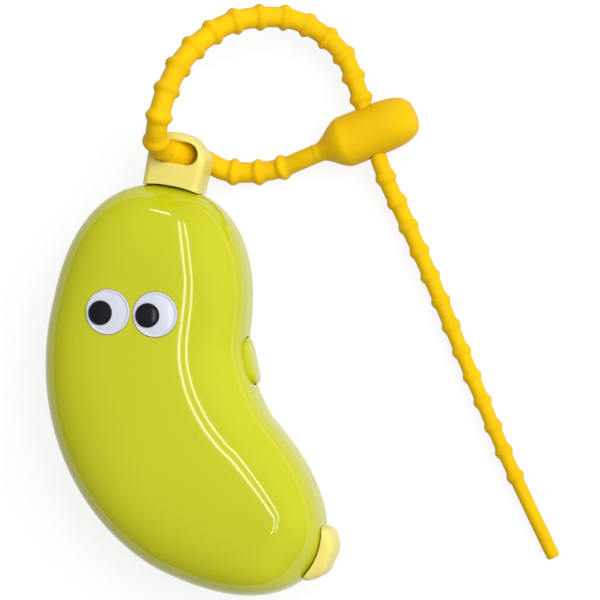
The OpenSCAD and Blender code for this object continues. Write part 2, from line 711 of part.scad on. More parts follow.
// Return spring between the rear shell's rib and the button's bar
module latch_spring() {
    per_turn = 12;
    n = spring_turns * per_turn;
    r = spring_r - spring_wire / 2;
    lead = (spring_len - spring_wire - 0.1) / n;
    rings = [for (i = [0 : n])
        let (a = 360 * i / per_turn, x = rib_x + 0.05 + spring_wire / 2 + lead * i)
        [for (k = [0 : 7])
            let (b = 360 * k / 8, q = r + spring_wire / 2 * cos(b))
            [x - spring_wire / 2 * sin(b), q * cos(a), q * sin(a)]]];
    color(steel) on_edge(latch_s, 1) translate([0, 0, spring_z]) tube(rings);
}
// Cover that holds the button's arms down, open over the catch
module latch_bracket() {
    color(lime) on_edge(latch_s, 1) difference() {
        block([post_x - post_r, -bracket_w / 2, bracket_bottom],
            [rail_out, bracket_w / 2, bracket_bottom + bracket_t]);
        block([nose_x - 0.8, -hook_w / 2 - 1.2, bracket_bottom - 1], [0, hook_w / 2 + 1.2, 0]);
        for (y = [-1, 1])
            translate([post_x, y * post_y, bracket_bottom - 1]) cylinder(r = clear_hole_r, h = 4);
    }
}
module bracket_screws() {
    on_edge(latch_s, 1)
        for (y = [-1, 1])
            translate([post_x, y * post_y, bracket_bottom + bracket_t]) screw();
}

// Stem: a rounded block with the strap slot, standing clear of the case on its tongue
function stem_outline(inset) =
    let (foot = (stem_w - stem_taper) / 2 - inset, top = stem_w / 2 - inset, h = stem_h - inset)
    rounded([[foot, -2, 0.1], [top, h - 4.6, 3.6 - inset], [top - 4, h - 0.5, 5 - inset],
        [-1.5, h, 6 - inset], [-top + 0.6, h - 1.4, 3.2 - inset], [-foot, -2, 0.1]]);
module tongue_solid() {
    difference() {
        tongue(0);
        translate([0, -tongue_screw, tongue_bottom - 1]) cylinder(r = clear_hole_r, h = tongue_t + 2);
    }
}
// Everything within a gap of the case's outline, that the stem and the tip are cut back by:
// close to the rear shell that they sit on, and wider beside the front shell that swings
module case_clearance() {
    translate([0, 0, -1]) linear_extrude(seam + front_depth + 2) polygon(case_outline(-cap_seat));
    translate([0, 0, seam - 0.3]) linear_extrude(front_depth + 2) polygon(case_outline(-cap_gap));
}
module stem_cap() {
    color(cream) union() {
        difference() {
            on_stem_end() stacked([for (v = cap_levels(stem_t, cap_edge)) [v[0], stem_outline(v[1])]]);
            case_clearance();
            on_stem_end() translate([0, slot_y, 0]) {
                half = (slot_len - slot_h) / 2;
                block([-half, -slot_h / 2, -stem_t], [half, slot_h / 2, stem_t]);
                for (x = [-half, half])
                    translate([x, 0, -stem_t]) cylinder(r = slot_h / 2, h = 2 * stem_t);
            }
        }
        on_stem_end() tongue_solid();
    }
}
module stem_screw() {
    on_stem_end() translate([0, -tongue_screw, tongue_top]) screw();
}
function tip_outline(inset) =
    let (x = tip_w / 2 - inset, h = tip_h - inset)
    rounded([[x, -3, 0.1], [x, h - 2.6, 2.2 - inset], [x - 3, h, 4 - inset], [-x + 3, h, 4 - inset],
        [-x, h - 2.6, 2.2 - inset], [-x, -3, 0.1]]);
module tip_cap() {
    color(cream) union() {
        difference() {
            on_tip() stacked([for (v = cap_levels(stem_t, cap_edge)) [v[0], tip_outline(v[1])]]);
            case_clearance();
        }
        on_tip() tongue_solid();
    }
}
module tip_screw() {
    on_tip() translate([0, -tongue_screw, tongue_top]) screw();
}

// Eyes: white discs pressed into their seats, each with a pupil seated off its middle
module eye(side) {
    color("#f2f2f6") on_eye(side) difference() {
        domed_disc(eye_d / 2, eye_rim, eye_crown, 0.3);
        translate([-pupil_shift, -pupil_drop, pupil_floor])
            cylinder(r = pupil_d / 2 + eye_fit, h = 3);
    }
}
module pupil(side) {
    color("#202228") on_eye(side)
        translate([-pupil_shift, -pupil_drop, pupil_floor]) domed_disc(pupil_d / 2, 0.75, 0.25, 0.2);
}
module left_eye() {
    eye(-1);
}
module left_pupil() {
    pupil(-1);
}
module right_eye() {
    eye(1);
}
module right_pupil() {
    pupil(1);
}

front_shell();
rear_shell();
hinge_pin();
latch_button();
latch_spring();
latch_bracket();
bracket_screws();
stem_cap();
stem_screw();
tip_cap();
tip_screw();
left_eye();
left_pupil();
right_eye();
right_pupil();
strap_lead();
strap_head();
strap_tail();
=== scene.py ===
"""Looks for the small banana-shaped case: gloss shells, satin stem and tip, eyes and strap.

Sizes are in millimetres and become metres where a mesh is made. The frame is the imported
model's: X to the right, Y towards the stem, Z up out of the front, the flat back at z = 0.
"""

import bmesh
import bpy
import numpy as np
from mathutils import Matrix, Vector


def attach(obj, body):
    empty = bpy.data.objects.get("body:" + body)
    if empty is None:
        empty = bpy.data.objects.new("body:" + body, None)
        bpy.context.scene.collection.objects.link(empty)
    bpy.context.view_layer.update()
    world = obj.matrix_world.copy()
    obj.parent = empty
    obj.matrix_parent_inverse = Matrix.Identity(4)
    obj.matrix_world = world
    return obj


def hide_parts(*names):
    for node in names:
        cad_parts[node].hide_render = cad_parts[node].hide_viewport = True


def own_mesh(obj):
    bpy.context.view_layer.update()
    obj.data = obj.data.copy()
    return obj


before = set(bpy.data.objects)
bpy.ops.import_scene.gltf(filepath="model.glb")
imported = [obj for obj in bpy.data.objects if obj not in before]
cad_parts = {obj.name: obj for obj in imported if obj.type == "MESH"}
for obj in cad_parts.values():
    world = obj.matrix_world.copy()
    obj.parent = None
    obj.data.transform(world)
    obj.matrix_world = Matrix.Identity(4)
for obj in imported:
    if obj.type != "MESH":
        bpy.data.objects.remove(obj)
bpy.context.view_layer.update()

MM = 0.001

# Case outline: a straight upper stretch, a bend and a straight lower stretch
upper_len = 31.5
lower_len = 28.0
bend_angle = 63.0
bend_r = 37.5
lean = 10.0
width_top = 20.5
width_tip = 26.0
round_top = 28.5
round_tip = 60.0
full_top = 2.4
full_tip = 2.1

# Shells, from the parting line
front_depth = 13.0
back_depth = 13.0
flat_cut = 0.5
round_side = 24.0
full_side = 2.2
full_dome = 2.6
wall = 1.8
rim_gap = 0.2
# Each half's depth, fullness across, and rounding at the stem and at the tip. The front is
# fuller than the solid and less rounded at the tip: its bright lines run on straight there
front_form = (front_depth - rim_gap / 2, 3.0, 20.0, 11.5)
rear_form = (back_depth + flat_cut - rim_gap / 2, full_dome, round_side, round_side)
rim_fillet = 0.25
lip_t = 1.0
lip_h = 1.3
lip_gap = 0.35
lip_foot = 2.0
foot_step = 0.1
seam = back_depth
# How far joined blocks reach into each other, and how far a cutter runs past a face
weld = 0.01
through = 1.0

# Hinge
hinge_s = 57.0
barrel_r = 1.6
barrel_proud = 0.3
barrel_room = 0.3
half_barrel = 6.2
half_knuckle = 2.4
knuckle_gap = 0.2
knuckle_foot = 1.0
pin_hole_r = 0.65
relief = 58.0
wedge_reach = 8.0
wedge_half = 16.0
# The locating lip stops this far to each side of the hinge and the latch
lip_break = 2.0
break_out = 3.0
hinge_break_in = 5.0
latch_break_in = 7.0

# Latch, in its own frame: X out of the case, Y along its side, Z up
latch_s = 41.0
button_w = 10.4
button_h = 6.4
button_corner = 2.8
button_proud = 1.5
button_edge = 0.6
button_travel = 1.2
button_gap = 0.25
flange_w = button_w + 2.4
flange_top = -0.4
flange_drop = 1.6
stop_x = -3.0
window_in = stop_x - 0.3
window_out = 5.0
flange_x = stop_x - 0.1
flange_in = flange_x - 1
blade_out = flange_in - button_travel - 0.6
blade_in = blade_out - 1
catch_x = blade_in - 0.4
nose_x = catch_x - 0.6
bar_out = catch_x - 0.8
bar_in = bar_out - 1.1
spring_len = 3.4
rib_x = bar_in - spring_len
rail_out = flange_in - button_travel - 0.4
hook_w = 4.8
hook_root = 1.0
blade_foot = 0.5
stay_half = 0.6
nose_land = 0.5
arm_play = 0.1
arm_top = -2.2
arm_bottom = -4.0
arm_in = 4.4
arm_out = 5.9
nose_top = arm_bottom - 0.2
nose_bottom = nose_top - 1.4
catch_side = 0.2
catch_land = 0.8
bracket_seat = -1.9
pad_side = 1.8
pad_out = 2.0
wall_in = arm_out + 0.2
half_bracket = wall_in + 1
post_r = 2.0
post_x = bar_in - button_travel - post_r - 0.3
post_y = arm_out - 0.6
spring_z = -3.4
spring_r = 1.35
spring_wire = 0.35
spring_turns = 4
spring_play = 0.05
spring_pad_half = 1.6
spring_pad_low = spring_z - 1.5
spring_pad_high = spring_z + 1.4
spring_rib_t = 1.0
spring_rib_half = 2.0

# Stem and tip
stem_h = 12.0
stem_w = 14.0
stem_taper = 1.4
stem_t = 10.0
stem_sunk = 2.0
slot_len = 10.0
slot_h = 4.9
slot_y = 7.5
slot_flare = 0.7
tip_w = 12.4
tip_h = 2.9
tip_side = 3.7
tip_sunk = 3.0
foot_r = 0.1
cap_gap = 0.08
cap_seat = 0.02
cap_step = 0.3
cap_edge = 1.6
tongue_w = 6.4
tongue_top = -2.0
tongue_bottom = -4.9
tongue_len = 10.0
tongue_root = 2.0
tongue_play = 0.15
tongue_screw = 7.4
clear_hole_r = 1.05

# Eyes
eye_d = 10.0
eye_pitch = 10.7
eye_fall = 3.0
eye_y = 23.2
eye_x = -3.2
eye_seat = 0.9
eye_fit = 0.1
eye_rim = 1.0
eye_crown = 0.4
eye_edge = 0.25
eye_lip = 0.12
groove_in = 0.35
groove_r = 0.15
pupil_d = 5.3
pupil_shift = 1.65
pupil_drop = 0.2
pupil_floor = 0.8
pupil_rim = 0.75
pupil_crown = 0.25
pupil_edge = 0.2

# Strap
neck_r = 2.35
slot_swell = 1.3
slot_fade = 5.0
lead_end_r = 2.1
loop_end_r = 1.95
neck_end_r = 1.48
rib_h = 0.72
tail_rib_h = 0.52
rib_half = 1.5
rib_form = 1.6
rib_pitch = 5.65
rib_drift = 2.0
tail_pitch = 6.0
lead_places = 15.9 + rib_pitch * np.arange(3)
loop_count = np.arange(-1, 13)
loop_places = 18.3 + rib_pitch * loop_count + rib_drift * np.sin(np.pi * loop_count / 12)
tail_places = 104.5 + tail_pitch * np.arange(13)
strap_gap = 0.05
head_place = np.array([45.8, 63.15, 5.7])
head_turn = 21.0
hole_turn = 4.0
head_end = 11.2
head_oval = 0.6
head_half_from = -0.5
head_root = -12.8
head_root_r = lead_end_r - 0.1
head_swell_from = -12.2
head_full_from = -5.4
head_d = 11.4
hole_r = 2.15
hole_side = 0.45
hole_drop = 0.3
hole_flare = 0.5

# Fineness of the surfaces: cells along the case, also for its lip, its cut at the stem and tip,
# and what trims ribs; cells across it; and cells round circles
along = 220
along_lip = 140
along_cap = 160
along_trim = 80
across_out = 96
across_in = 40
round_cells = 64
fine_cells = 96
rod_cells = 48
tube_cells = 40
tube_step = 0.3
tube_end_rings = 8
spring_cells = 28
wire_cells = 12

# Routes of the strap's middle line, as in the part's source: both start in the slot
lead_route = np.array([
    [4.7, 58.6, 13], [5.8, 58.4, 10.5], [6.8, 58.2, 8.1], [8.1, 57.5, 6], [9.8, 56.4, 4.5],
    [11.9, 55.3, 3.6], [14.4, 54.7, 3.15], [17.4, 54.5, 3.05], [20.6, 54.6, 3.05], [24, 55.1, 3.15],
    [27.2, 56, 3.6], [30, 57.05, 4.4], [33, 58.2, 5.1], [35.6, 59.2, 5.3]])
tail_route = np.array([
    [4.7, 58.6, 13], [3.6, 58.8, 15.5], [2.6, 59, 18], [2, 59.4, 20.7], [1.9, 60.6, 23.5],
    [2.4, 62.8, 25.8], [3.3, 66, 27.1], [4.2, 69.6, 26.9], [5.3, 73.4, 25.5], [6.8, 77.3, 23.2],
    [8.9, 80.8, 20.6], [11.6, 83.8, 17.9], [15, 86.4, 15.6], [19.1, 88, 13.3], [24.2, 88.6, 10.8],
    [28.9, 88.2, 8.7], [33.3, 86.3, 6.9], [37.4, 83.2, 5.8], [40.5, 79.4, 5.2], [42.8, 74, 5.4],
    [44.14, 70.1, 5.4], [46.24, 63.22, 5.4], [48.34, 56.34, 5.4], [50.4, 50.6, 4.2], [52.5, 46, 3],
    [56.5, 37, 2.4], [61.1, 26.4, 2.3], [65.8, 15.2, 2.25], [70.5, 4.2, 2.25], [75.4, -7.2, 2.25],
    [79.8, -16.6, 2.1], [83.1, -23.6, 1.7], [86.5, -30.6, 1.5]])


# Camera, at the photograph's angle: nearly straight above, a little from the right
aim = np.array([31.8, 26.1, 13.0])
camera_side = 12.0
camera_distance = 1000.0
view_width = 132.0

camera_data = bpy.data.cameras.new("camera")
camera_data.sensor_width = 36.0
camera_data.lens = camera_data.sensor_width * camera_distance / view_width
camera_data.clip_start = 0.05
camera_data.clip_end = 20.0
camera = bpy.data.objects.new("camera", camera_data)
bpy.context.scene.collection.objects.link(camera)
tilt = np.radians(camera_side)
camera.location = (aim + camera_distance * np.array([np.sin(tilt), 0, np.cos(tilt)])) * MM
camera.rotation_euler = (0, tilt, 0)
bpy.context.scene.camera = camera


# Making meshes
def make(name, points, faces):
    """Object at the origin from points in millimetres and lists of their indices. Points that
    coincide are merged, and a mesh that encloses less than nothing is turned outwards."""
    mesh = bpy.data.meshes.new(name)
    mesh.from_pydata((np.asarray(points) * MM).tolist(), [], faces)
    shape = bmesh.new()
    shape.from_mesh(mesh)
    bmesh.ops.remove_doubles(shape, verts=shape.verts, dist=1e-7)
    if shape.calc_volume(signed=True) < 0:
        bmesh.ops.reverse_faces(shape, faces=shape.faces)
    shape.to_mesh(mesh)
    shape.free()
    made = bpy.data.objects.new(name, mesh)
    bpy.context.scene.collection.objects.link(made)
    return made


def skin(name, rings, closed_row=False, ends=True):
    """Surface through rings of equal counts: each ring is joined to the next, and the row of
    rings to its own start or, at both ends, to a flat face."""
    n, m = rings.shape[:2]
    i, j = np.meshgrid(np.arange(n if closed_row else n - 1), np.arange(m), indexing="ij")
    after = (i + 1) % n
    beside = (j + 1) % m
    faces = np.stack([i * m + j, i * m + beside, after * m + beside, after * m + j], -1)
    faces = faces.reshape(-1, 4).tolist()
    if ends and not closed_row:
        faces.append(list(range(m - 1, -1, -1)))
        faces.append(list(range((n - 1) * m, n * m)))
    return make(name, rings.reshape(-1, 3), faces)


def placed(points, place):
    """Points of a local frame in the case's frame: turned by its axes, then moved."""
    origin, axes = place
    return np.asarray(points, float) @ axes + origin


def drawn(place, axis, start, end, outline):
    """Prism: a flat outline carried straight along one axis of a local frame. The outline's
    two numbers are the other two axes, in the order x, y, z."""
    outline = np.asarray(outline, float)
    rings = [np.insert(outline, "xyz".index(axis), far, axis=1) for far in (start, end)]
    return skin("prism", placed(np.array(rings), place))


def block(place, low, high):
    """Box from one corner to the opposite one, in a local frame."""
    (x0, y0, z0), (x1, y1, z1) = low, high
    return drawn(place, "z", z0, z1, [[x0, y0], [x1, y0], [x1, y1], [x0, y1]])


def circle(r, centre=(0.0, 0.0), count=round_cells):
    """Points round a circle."""
    a = np.linspace(0, 2 * np.pi, count, endpoint=False)
    return np.stack([centre[0] + r * np.cos(a), centre[1] + r * np.sin(a)], -1)


def rounded(corners, steps=10):
    """Convex outline with rounded corners [x, y, radius]: between the directions of the sides
    before and after a corner, an arc about the point that lies a radius inside both."""
    corners = np.asarray(corners, float)
    points = corners[:, :2]
    r = corners[:, 2:]
    before = np.arctan2(*(points - np.roll(points, 1, 0)).T[::-1])[:, None]
    after = np.arctan2(*(np.roll(points, -1, 0) - points).T[::-1])[:, None]
    turn = (after - before) % (2 * np.pi)
    middle = before + turn / 2
    centre = points - r / np.cos(turn / 2) * np.hstack([np.sin(middle), -np.cos(middle)])
    a = before + turn * np.linspace(0, 1, steps + 1)
    arc = np.stack([np.sin(a), -np.cos(a)], -1)
    return (centre[:, None] + r[:, None] * arc).reshape(-1, 2)


def turned(place, profile, count=fine_cells):
    """Solid of revolution about the local Z axis from a profile of [radius, height]."""
    profile = np.asarray(profile, float)
    a = np.linspace(0, 2 * np.pi, count, endpoint=False)
    r, z = profile[:, :1], np.repeat(profile[:, 1:], count, 1)
    rings = np.stack([r * np.cos(a), r * np.sin(a), z], -1)
    return skin("turned", placed(rings, place), ends=False)


def combined(thing, other, how):
    """The first closed mesh with the second taken away, added or kept in common. The second
    is used up."""
    step = thing.modifiers.new("step", "BOOLEAN")
    step.object = other
    step.operation = how
    step.solver = "EXACT"
    bpy.context.view_layer.update()
    graph = bpy.context.evaluated_depsgraph_get()
    mesh = bpy.data.meshes.new_from_object(thing.evaluated_get(graph))
    thing.modifiers.clear()
    thing.data = mesh
    bpy.data.objects.remove(other)
    return thing


def cut(thing, *others):
    """The first mesh with all the others taken away."""
    for other in others:
        thing = combined(thing, other, "DIFFERENCE")
    return thing


def joined(thing, *others):
    """All the meshes as one."""
    for other in others:
        thing = combined(thing, other, "UNION")
    return thing


def kept_inside(thing, other):
    """What both meshes have in common."""
    return combined(thing, other, "INTERSECT")


# The case's form
arc_len = bend_r * np.radians(bend_angle)
spine_len = upper_len + arc_len + lower_len
first_heading = -lean
last_heading = bend_angle - lean


def along_dir(a):
    """Direction along the middle line where it heads at angle a."""
    return np.stack([np.sin(np.radians(a)), -np.cos(np.radians(a))], -1)


def side_dir(a):
    """Direction square to the middle line, to its right."""
    return np.stack([np.cos(np.radians(a)), np.sin(np.radians(a))], -1)


bend_centre = bend_r * side_dir((first_heading + last_heading) / 2)


def heading(s):
    """Direction of the middle line: it turns evenly in the bend and not at all outside it."""
    return np.clip(first_heading + np.degrees((s - upper_len) / bend_r), first_heading, last_heading)


def flat_point(s, u):
    """Point u beside the middle line at length s: on the bend's circle, or past its ends."""
    s, u = np.broadcast_arrays(np.asarray(s, float), np.asarray(u, float))
    a = heading(s)
    past = np.minimum(0, s - upper_len) + np.maximum(0, s - upper_len - arc_len)
    return bend_centre + (u - bend_r)[..., None] * side_dir(a) + past[..., None] * along_dir(a)


def rounded_end(u, k):
    """Height of a rounded end: the k-th root of 1 minus the k-th power of what is left to 1."""
    return np.maximum(0, 1 - np.clip(1 - u, 0, 1) ** k) ** (1 / k)


def half_width(s, inset=0.0):
    """Width that grows evenly from stem to tip, times the two rounded ends."""
    return (
        (width_top + (width_tip - width_top) * s / spine_len - inset)
        * rounded_end((s - inset) / (round_top - inset), full_top)
        * rounded_end((spine_len - s - inset) / (round_tip - inset), full_tip))


def half_depth(s, form, inset=0.0):
    """Depth times the two rounded ends, seen from the side."""
    depth, _, at_stem, at_tip = form
    return (
        (depth - inset)
        * rounded_end((s - inset) / (at_stem - inset), full_side)
        * rounded_end((spine_len - s - inset) / (at_tip - inset), full_side))


def stations(inset, count=along):
    """Lengths along the middle line, closer together at the ends: a cosine's steps."""
    return inset + (spine_len - 2 * inset) * (1 - np.cos(np.pi * np.arange(count + 1) / count)) / 2


def dome(s, t, form, inset):
    """Points over the case: at length s and angle t, the cosine and sine of t to the power of
    two over the fullness, times the half width and the half depth."""
    power = 2 / form[1]
    u = np.sign(np.cos(t)) * np.abs(np.cos(t)) ** power * half_width(s, inset)
    z = np.abs(np.sin(t)) ** power * half_depth(s, form, inset)
    return np.concatenate([flat_point(s, u), z[..., None]], -1)


def outline(inset, count=along):
    """The case's edge, drawn smaller by an inset: up its right side, then down its left."""
    s = stations(inset, count)
    w = half_width(s, inset)
    return np.concatenate([flat_point(s, w)[::-1], flat_point(s, -w)[1:-1]])


def hollow_half(name, base, form, up):
    """Hollow half of the case. Its section runs over the outside from right to left, ends each
    side in a small fillet on the rim, and comes back over the inside."""
    s = stations(0)[:, None]
    h = half_depth(s, form)
    r = np.minimum(rim_fillet, 0.4 * h)
    share = np.minimum(rim_fillet / np.maximum(h, 1e-9), 0.4)
    first = np.arcsin(share ** (form[1] / 2))
    t = first + (np.pi - 2 * first) * np.linspace(0, 1, across_out + 1)
    outside = dome(s, t, form, 0)
    edge = half_width(s) * np.cos(first) ** (2 / form[1])
    a = np.radians(np.linspace(90, 0, 6))[:-1]
    u = edge - r + r * np.cos(a)
    z = r - r * np.sin(a)
    right = np.concatenate([flat_point(s, u), z[..., None]], -1)
    left = np.concatenate([flat_point(s, -u), z[..., None]], -1)[:, ::-1]
    inside = dome(stations(wall)[:, None], np.linspace(np.pi, 0, across_in + 1)[None], form, wall)
    inside[:, [0, -1], 2] = 0
    rings = np.concatenate([right, outside, left, inside], 1)
    rings[..., 2] = base + up * rings[..., 2]
    return skin(name, rings, ends=False)


def solid_half(base, form, up, inset):
    """Solid half of the case that ribs and posts are trimmed with."""
    t = np.linspace(0, np.pi, across_in + 1)[None]
    rings = dome(stations(inset, along_trim)[:, None], t, form, inset)
    rings[:, [0, -1], 2] = 0
    rings[..., 2] = base + up * rings[..., 2]
    return skin("trim", rings, ends=False)


# Local frames: an origin, and axes as rows
def level_frame(origin, angle):
    """Frame with its Z up, turned about it by an angle."""
    a = np.radians(angle)
    axes = np.array([[np.cos(a), np.sin(a), 0], [-np.sin(a), np.cos(a), 0], [0, 0, 1]])
    return np.array(origin, float), axes


def flat_frame(point, angle):
    """Level frame at the height of the seam."""
    return level_frame([*point, seam], angle)


def edge_frame(s, side, turn=0.0):
    """Frame on the case's edge, its X out of the case: square to the line between the edge's
    points just before and after."""
    h = 0.4
    near = [flat_point(x, side * half_width(x)) for x in (s - h, s + h)]
    v = side * (near[0] - near[1])
    angle = np.degrees(np.arctan2(v[1], v[0])) - 90
    return flat_frame(flat_point(s, side * half_width(s)), angle + turn)


def moved(place, by):
    """The same frame with its origin moved along its own axes."""
    return placed(by, place), place[1]


world_frame = (np.zeros(3), np.eye(3))
on_hinge = moved(edge_frame(hinge_s, -1, 90), [0, barrel_r - barrel_proud, 0])
on_latch = edge_frame(latch_s, 1)
on_stem = flat_frame(flat_point(0, 0), -lean)
tip_s = spine_len - round_tip * (1 - (1 - (tip_side / width_tip) ** full_tip) ** (1 / full_tip))
on_tip = edge_frame(tip_s, 1, -90)


def front_height(s, u):
    """Height of the front dome's outside over the parting line."""
    full = front_form[1]
    share = (np.abs(u) / half_width(s)) ** full
    return rim_gap / 2 + half_depth(s, front_form) * (1 - share) ** (1 / full)


def eye_frame(side):
    """Frame on the floor of an eye's seat, its Z square to the dome there."""
    fall = np.radians(eye_fall)
    p = np.array([eye_x, eye_y]) + side * eye_pitch / 2 * np.array([np.cos(fall), -np.sin(fall)])
    v = p - flat_point(upper_len, 0)
    s = upper_len + v @ along_dir(first_heading)
    u = v @ side_dir(first_heading)
    h = 0.2
    slope_s = (front_height(s + h, u) - front_height(s - h, u)) / (2 * h)
    slope_u = (front_height(s, u + h) - front_height(s, u - h)) / (2 * h)
    slope = slope_s * along_dir(first_heading) + slope_u * side_dir(first_heading)
    lean_axis = np.array([*-slope, 0])
    angle = np.arctan(np.linalg.norm(slope))
    k = lean_axis / np.linalg.norm(lean_axis)
    z = np.array([k[0] * np.sin(angle), k[1] * np.sin(angle), np.cos(angle)])
    x = np.array([1.0, 0, 0]) - k[0] * k + k[0] * np.array([*(k[:2] * np.cos(angle)), -np.sin(angle)])
    axes = np.array([x, np.cross(z, x), z])
    return np.array([*p, seam + front_height(s, u)]) - eye_seat * z, axes


def hinge_rod(r, start, end):
    """Round rod on the hinge's axis."""
    return drawn(on_hinge, "x", start, end, circle(r, count=rod_cells))


def hinge_wedge(up):
    """Wedge outside the hinge's axis that lets the open half swing past the other."""
    rise = up * wedge_reach * np.tan(np.radians(relief))
    return drawn(
        on_hinge, "x", -wedge_half, wedge_half, [[0, 0], [-wedge_reach, 0], [-wedge_reach, rise]])


def pill(inset):
    """The button's outline, drawn smaller by an inset."""
    y = button_w / 2 - inset
    z = button_h / 2 - inset
    r = button_corner - inset
    return rounded([[-y, -z, r], [y, -z, r], [y, z, r], [-y, z, r]])


def button_window():
    """Cutter of the window that the button comes out of."""
    return drawn(on_latch, "x", window_in, window_out, pill(-button_gap))


# Node trees
def linear(hex_text):
    """An sRGB hex colour as linear red, green, blue and 1."""
    c = np.array([int(hex_text[i:i + 2], 16) for i in (1, 3, 5)]) / 255
    c = np.where(c <= 0.04045, c / 12.92, ((c + 0.055) / 1.055) ** 2.4)
    return (*c.tolist(), 1.0)


def add(tree, kind, inputs=None, **settings):
    """Adds one node with its settings. An input is a value, or a socket that is linked to it."""
    made = tree.nodes.new(kind)
    for name, value in settings.items():
        setattr(made, name, value)
    for name, value in (inputs or {}).items():
        if isinstance(value, bpy.types.NodeSocket):
            tree.links.new(value, made.inputs[name])
        else:
            made.inputs[name].default_value = value
    return made


def new_tree(name):
    """An empty material and its node tree."""
    material = bpy.data.materials.new(name)
    material.use_nodes = True
    material.node_tree.nodes.clear()
    return material, material.node_tree


def moulded(name, colour, deep, cloud_mm, roughness, scuff, peel_mm, peel, ior=1.54):
    """Injection-moulded plastic. Broad clouds mix the colour with a deeper one, scuffs of a few
    tenths of a millimetre vary the gloss, and the mould's texture is a bump of size peel_mm."""
    material, tree = new_tree(name)
    place = add(tree, "ShaderNodeTexCoord").outputs["Object"]
    clouds = add(tree, "ShaderNodeTexNoise", {
        "Vector": place, "Scale": 1000 / cloud_mm, "Detail": 2.0, "Roughness": 0.45})
    share = add(tree, "ShaderNodeMapRange", {
        "Value": clouds.outputs["Fac"], "From Min": 0.35, "From Max": 0.68})
    tint = add(tree, "ShaderNodeMix", {
        "Factor": share.outputs["Result"], "A": linear(colour), "B": linear(deep)},
        data_type="RGBA")
    marks = add(tree, "ShaderNodeTexNoise", {
        "Vector": place, "Scale": 1000 / 2.2, "Detail": 6.0, "Roughness": 0.7, "Distortion": 0.6})
    gloss = add(tree, "ShaderNodeMapRange", {
        "Value": marks.outputs["Fac"], "From Min": 0.4, "From Max": 0.75,
        "To Min": roughness, "To Max": roughness + scuff})
    grain = add(tree, "ShaderNodeTexNoise", {
        "Vector": place, "Scale": 1000 / peel_mm, "Detail": 3.0, "Roughness": 0.5})
    bump = add(tree, "ShaderNodeBump", {
        "Height": grain.outputs["Fac"], "Strength": 1.0, "Distance": peel * MM})
    shader = add(tree, "ShaderNodeBsdfPrincipled", {
        "Base Color": tint.outputs["Result"], "Roughness": gloss.outputs["Result"],
        "Normal": bump.outputs["Normal"], "IOR": ior})
    add(tree, "ShaderNodeOutputMaterial", {"Surface": shader.outputs["BSDF"]})
    return material


# ABS from a polished mould: wet-looking gloss with a very faint orange peel
lime_abs = moulded("gloss_lime_abs", "#c8c91c", "#c3c516", 38, 0.06, 0.02, 3.5, 0.0006)
# The button's paler ABS, from the same kind of mould
button_abs = moulded("gloss_button_abs", "#c6c71e", "#c1c318", 14, 0.12, 0.06, 2.5, 0.001)
# ABS from a blasted mould: a soft sheen and a fine even grain
cream_abs = moulded("satin_cream_abs", "#eadd74", "#e4d568", 12, 0.36, 0.1, 0.35, 0.008)
# Printed and lacquered white discs: bright and glossy, cool beside the lime
eye_acrylic = moulded("gloss_white_acrylic", "#d8dbe7", "#d1d5e2", 6, 0.1, 0.05, 1.5, 0.0008, 1.49)
# Black domes that pick up one small highlight
pupil_acrylic = moulded("gloss_black_acrylic", "#0f1117", "#0a0b10", 4, 0.12, 0.08, 1.5, 0.0008, 1.4)
# Liquid silicone from a blasted mould: matt and a little dusty
strap_silicone = moulded("matt_amber_silicone", "#f0c202", "#eaba02", 9, 0.5, 0.14, 0.4, 0.01, 1.25)


def drawn_steel():
    """Steel wire and screws, drawn and turned: grey metal, with fine lines that vary the gloss."""
    material, tree = new_tree("drawn_steel")
    place = add(tree, "ShaderNodeTexCoord").outputs["Object"]
    lines = add(tree, "ShaderNodeTexNoise", {
        "Vector": place, "Scale": 1000 / 0.25, "Detail": 4.0, "Roughness": 0.6})
    gloss = add(tree, "ShaderNodeMapRange", {
        "Value": lines.outputs["Fac"], "To Min": 0.18, "To Max": 0.42})
    shader = add(tree, "ShaderNodeBsdfPrincipled", {
        "Base Color": linear("#b9bcc0"), "Metallic": 1.0, "Roughness": gloss.outputs["Result"]})
    add(tree, "ShaderNodeOutputMaterial", {"Surface": shader.outputs["BSDF"]})
    return material


steel = drawn_steel()


def finished(thing, name, material, body, nodes, sharp=32.0):
    """Names the piece, smooths it up to an angle between faces, gives it its material and the
    body it rides on, and hides the CAD nodes that it stands for."""
    thing.name = name
    thing.data.name = name
    thing.data.shade_smooth()
    thing.data.set_sharp_from_angle(angle=np.radians(sharp))
    thing.data.materials.clear()
    thing.data.materials.append(material)
    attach(thing, body)
    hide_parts(*nodes)
    return thing


# Strap
def smooth_route(points, per_span=40):
    """Curve through the points: in each span a cubic whose ends take the direction between
    the neighbours on both sides. Returned with the length up to each of its points."""
    first = 2 * points[0] - points[1]
    last = 2 * points[-1] - points[-2]
    p = np.vstack([first, points, last])
    a, b, c, d = (p[k:len(p) - 3 + k, None] for k in range(4))
    f = np.linspace(0, 1, per_span, endpoint=False)[None, :, None]
    line = b + f / 2 * ((c - a) + f * ((2 * a - 5 * b + 4 * c - d) + f * (3 * (b - c) + d - a)))
    line = np.vstack([line.reshape(-1, 3), points[-1]])
    steps = np.linalg.norm(np.diff(line, axis=0), axis=1)
    return line, np.concatenate([[0], np.cumsum(steps)])


def ribs(s, places, height):
    """Ribs along the strap: each a ridge as high as the cosine of the way from its top to its
    foot, to the power of rib_form."""
    way = np.min(np.abs(s[:, None] - places), axis=1)
    return height * np.cos(np.clip(way / rib_half, 0, 1) * np.pi / 2) ** rib_form


